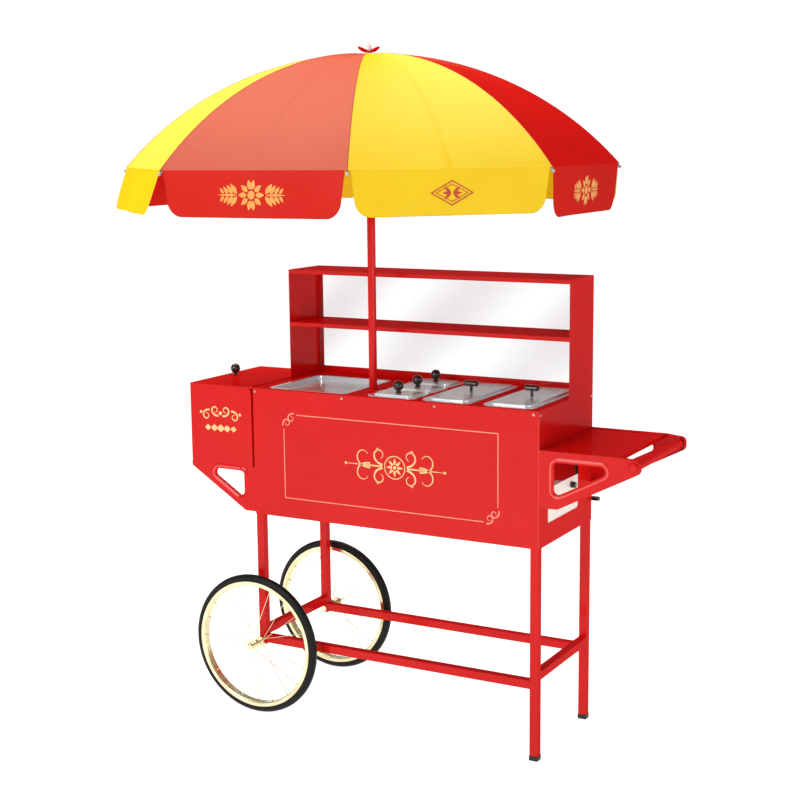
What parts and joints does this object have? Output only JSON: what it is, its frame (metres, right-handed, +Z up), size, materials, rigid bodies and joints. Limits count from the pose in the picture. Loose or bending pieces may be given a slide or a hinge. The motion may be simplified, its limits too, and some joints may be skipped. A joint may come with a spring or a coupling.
{
  "type": "hot dog cart",
  "caption": "Red steel hot dog cart with a steam table, drinks cooler, back hutch, wire wheels, side shelf and a red and yellow folding umbrella.",
  "frame": {"origin": "on the floor at the middle of the outer box in X and Y, which puts the umbrella pole at y = 0", "axes": "+X towards the push handle, +Y towards the back of the cart, +Z up"},
  "size_m": [1.6424, 1.4348, 2.121],
  "materials": {
    "red_enamel": "gloss enamel on folded sheet and tube",
    "stainless": "pressed stainless, brushed",
    "black_phenolic": "moulded phenolic, polished",
    "black_plastic": "moulded plastic cap and pipe",
    "clear_pane": "clear acrylic sheet",
    "brass_plate": "bright brass plate",
    "tyre_rubber": "solid rubber",
    "pale_plastic": "moulded nylon",
    "rib_steel": "drawn steel rod, plated",
    "red_cloth": "coated woven canopy cloth",
    "yellow_cloth": "coated woven canopy cloth"
  },
  "bodies": {
    "cart": {"legs": "red_enamel", "lower_rails": "red_enamel", "front_panel": "red_enamel", "end_panels": "red_enamel", "back_panel": "red_enamel", "counter_top": "red_enamel", "hutch_shelves": "red_enamel", "cooler_box": "red_enamel", "brackets": "red_enamel", "side_shelf": "red_enamel", "push_handle": "red_enamel", "pans": "stainless", "water_tank": "stainless", "heating_element": "stainless", "foot_caps": "black_plastic", "drain_valve": "black_plastic", "back_pane": "clear_pane", "axle": "brass_plate", "control_box": "pale_plastic"},
    "wheel_front": {"tyre_front": "tyre_rubber", "wire_wheel_front": "brass_plate"},
    "wheel_rear": {"tyre_rear": "tyre_rubber", "wire_wheel_rear": "brass_plate"},
    "cooler_cover": {"cooler_lid": "red_enamel", "cooler_knob": "black_phenolic"},
    "hot_cover_1": {"hot_lid_1": "stainless", "hot_grip_1": "black_phenolic"},
    "hot_cover_2": {"hot_lid_2": "stainless", "hot_grip_2": "black_phenolic"},
    "condiment_cover_1": {"condiment_lid_1": "stainless", "condiment_knob_1": "black_phenolic"},
    "condiment_cover_2": {"condiment_lid_2": "stainless", "condiment_knob_2": "black_phenolic"},
    "condiment_cover_3": {"condiment_lid_3": "stainless", "condiment_knob_3": "black_phenolic"},
    "tray": {"serving_tray": "stainless"},
    "dial": {"thermostat_knob": "black_phenolic"},
    "lever": {"drain_lever": "black_phenolic"},
    "umbrella": {"umbrella_pole": "red_enamel", "umbrella_crown": "pale_plastic", "finial": "pale_plastic", "canopy_red": "red_cloth", "canopy_yellow": "yellow_cloth"},
    "runner": {"umbrella_runner": "pale_plastic"},
    "rib_arm_1": {"rib_1": "rib_steel"},
    "stretcher_arm_1": {"stretcher_1": "rib_steel"},
    "rib_arm_2": {"rib_2": "rib_steel"},
    "stretcher_arm_2": {"stretcher_2": "rib_steel"},
    "rib_arm_3": {"rib_3": "rib_steel"},
    "stretcher_arm_3": {"stretcher_3": "rib_steel"},
    "rib_arm_4": {"rib_4": "rib_steel"},
    "stretcher_arm_4": {"stretcher_4": "rib_steel"},
    "rib_arm_5": {"rib_5": "rib_steel"},
    "stretcher_arm_5": {"stretcher_5": "rib_steel"},
    "rib_arm_6": {"rib_6": "rib_steel"},
    "stretcher_arm_6": {"stretcher_6": "rib_steel"},
    "rib_arm_7": {"rib_7": "rib_steel"},
    "stretcher_arm_7": {"stretcher_7": "rib_steel"},
    "rib_arm_8": {"rib_8": "rib_steel"},
    "stretcher_arm_8": {"stretcher_8": "rib_steel"}
  },
  "joints": [
    {"name": "wheel_front_spin", "type": "hinge", "parent": "cart", "child": "wheel_front", "pos_m": [-0.4566, -0.166, 0.2286], "axis": [0, 1, 0], "continuous": true},
    {"name": "wheel_rear_spin", "type": "hinge", "parent": "cart", "child": "wheel_rear", "pos_m": [-0.4566, 0.317, 0.2286], "axis": [0, 1, 0], "continuous": true},
    {"name": "cooler_lid_hinge", "type": "hinge", "parent": "cart", "child": "cooler_cover", "pos_m": [-0.4788, 0.0755, 1.0585], "axis": [0, 1, 0], "range_deg": [0, 80]},
    {"name": "hot_lid_1_lift", "type": "slide", "parent": "cart", "child": "hot_cover_1", "axis": [0, 0, 1], "range_m": [0, 0.12]},
    {"name": "hot_lid_2_lift", "type": "slide", "parent": "cart", "child": "hot_cover_2", "axis": [0, 0, 1], "range_m": [0, 0.12]},
    {"name": "condiment_lid_1_lift", "type": "slide", "parent": "cart", "child": "condiment_cover_1", "axis": [0, 0, 1], "range_m": [0, 0.1]},
    {"name": "condiment_lid_2_lift", "type": "slide", "parent": "cart", "child": "condiment_cover_2", "axis": [0, 0, 1], "range_m": [0, 0.1]},
    {"name": "condiment_lid_3_lift", "type": "slide", "parent": "cart", "child": "condiment_cover_3", "axis": [0, 0, 1], "range_m": [0, 0.1]},
    {"name": "tray_lift", "type": "slide", "parent": "cart", "child": "tray", "axis": [0, 0, 1], "range_m": [0, 0.06]},
    {"name": "dial_turn", "type": "hinge", "parent": "cart", "child": "dial", "pos_m": [0.5157, 0.1175, 0.795], "axis": [1, 0, 0], "range_deg": [0, 270]},
    {"name": "lever_turn", "type": "hinge", "parent": "cart", "child": "lever", "pos_m": [0.4832, 0.2965, 0.72], "axis": [0, 0, 1], "range_deg": [0, 90]},
    {"name": "umbrella_lift", "type": "slide", "parent": "cart", "child": "umbrella", "axis": [0, 0, 1], "range_m": [0, 0.28]},
    {"name": "runner_slide", "type": "slide", "parent": "umbrella", "child": "runner", "axis": [0, 0, -1], "range_m": [0, 0.10735], "deforming": ["canopy_red", "canopy_yellow"]},
    {"name": "rib_1_hinge", "type": "hinge", "parent": "umbrella", "child": "rib_arm_1", "pos_m": [-0.12366, -0.00947, 2.073], "axis": [0.4305, -0.9026, 0], "range_deg": [0, 15.05]},
    {"name": "stretcher_1_hinge", "type": "hinge", "parent": "runner", "child": "stretcher_arm_1", "pos_m": [-0.12366, -0.00947, 1.8105], "axis": [0.4305, -0.9026, 0], "range_deg": [-5.69, 0]},
    {"name": "rib_2_hinge", "type": "hinge", "parent": "umbrella", "child": "rib_arm_2", "pos_m": [-0.11115, -0.02074, 2.073], "axis": [0.9426, -0.3338, 0], "range_deg": [0, 15.05]},
    {"name": "stretcher_2_hinge", "type": "hinge", "parent": "runner", "child": "stretcher_arm_2", "pos_m": [-0.11115, -0.02074, 1.8105], "axis": [0.9426, -0.3338, 0], "range_deg": [-5.69, 0]},
    {"name": "rib_3_hinge", "type": "hinge", "parent": "umbrella", "child": "rib_arm_3", "pos_m": [-0.09433, -0.01986, 2.073], "axis": [0.9026, 0.4305, 0], "range_deg": [0, 15.05]},
    {"name": "stretcher_3_hinge", "type": "hinge", "parent": "runner", "child": "stretcher_arm_3", "pos_m": [-0.09433, -0.01986, 1.8105], "axis": [0.9026, 0.4305, 0], "range_deg": [-5.69, 0]},
    {"name": "rib_4_hinge", "type": "hinge", "parent": "umbrella", "child": "rib_arm_4", "pos_m": [-0.08306, -0.00734, 2.073], "axis": [0.3338, 0.9426, 0], "range_deg": [0, 15.05]},
    {"name": "stretcher_4_hinge", "type": "hinge", "parent": "runner", "child": "stretcher_arm_4", "pos_m": [-0.08306, -0.00734, 1.8105], "axis": [0.3338, 0.9426, 0], "range_deg": [-5.69, 0]},
    {"name": "rib_5_hinge", "type": "hinge", "parent": "umbrella", "child": "rib_arm_5", "pos_m": [-0.08395, 0.00947, 2.073], "axis": [-0.4305, 0.9026, 0], "range_deg": [0, 15.05]},
    {"name": "stretcher_5_hinge", "type": "hinge", "parent": "runner", "child": "stretcher_arm_5", "pos_m": [-0.08395, 0.00947, 1.8105], "axis": [-0.4305, 0.9026, 0], "range_deg": [-5.69, 0]},
    {"name": "rib_6_hinge", "type": "hinge", "parent": "umbrella", "child": "rib_arm_6", "pos_m": [-0.09646, 0.02074, 2.073], "axis": [-0.9426, 0.3338, 0], "range_deg": [0, 15.05]},
    {"name": "stretcher_6_hinge", "type": "hinge", "parent": "runner", "child": "stretcher_arm_6", "pos_m": [-0.09646, 0.02074, 1.8105], "axis": [-0.9426, 0.3338, 0], "range_deg": [-5.69, 0]},
    {"name": "rib_7_hinge", "type": "hinge", "parent": "umbrella", "child": "rib_arm_7", "pos_m": [-0.11328, 0.01986, 2.073], "axis": [-0.9026, -0.4305, 0], "range_deg": [0, 15.05]},
    {"name": "stretcher_7_hinge", "type": "hinge", "parent": "runner", "child": "stretcher_arm_7", "pos_m": [-0.11328, 0.01986, 1.8105], "axis": [-0.9026, -0.4305, 0], "range_deg": [-5.69, 0]},
    {"name": "rib_8_hinge", "type": "hinge", "parent": "umbrella", "child": "rib_arm_8", "pos_m": [-0.12454, 0.00734, 2.073], "axis": [-0.3338, -0.9426, 0], "range_deg": [0, 15.05]},
    {"name": "stretcher_8_hinge", "type": "hinge", "parent": "runner", "child": "stretcher_arm_8", "pos_m": [-0.12454, 0.00734, 1.8105], "axis": [-0.3338, -0.9426, 0], "range_deg": [-5.69, 0]}
  ],
  "couplings": [
    {"joint": "rib_1_hinge", "follows": "runner_slide", "rad_per_m": 2.4386},
    {"joint": "stretcher_1_hinge", "follows": "runner_slide", "rad_per_m": -0.91742},
    {"joint": "rib_2_hinge", "follows": "runner_slide", "rad_per_m": 2.4386},
    {"joint": "stretcher_2_hinge", "follows": "runner_slide", "rad_per_m": -0.91742},
    {"joint": "rib_3_hinge", "follows": "runner_slide", "rad_per_m": 2.4386},
    {"joint": "stretcher_3_hinge", "follows": "runner_slide", "rad_per_m": -0.91742},
    {"joint": "rib_4_hinge", "follows": "runner_slide", "rad_per_m": 2.4386},
    {"joint": "stretcher_4_hinge", "follows": "runner_slide", "rad_per_m": -0.91742},
    {"joint": "rib_5_hinge", "follows": "runner_slide", "rad_per_m": 2.4386},
    {"joint": "stretcher_5_hinge", "follows": "runner_slide", "rad_per_m": -0.91742},
    {"joint": "rib_6_hinge", "follows": "runner_slide", "rad_per_m": 2.4386},
    {"joint": "stretcher_6_hinge", "follows": "runner_slide", "rad_per_m": -0.91742},
    {"joint": "rib_7_hinge", "follows": "runner_slide", "rad_per_m": 2.4386},
    {"joint": "stretcher_7_hinge", "follows": "runner_slide", "rad_per_m": -0.91742},
    {"joint": "rib_8_hinge", "follows": "runner_slide", "rad_per_m": 2.4386},
    {"joint": "stretcher_8_hinge", "follows": "runner_slide", "rad_per_m": -0.91742}
  ]
}
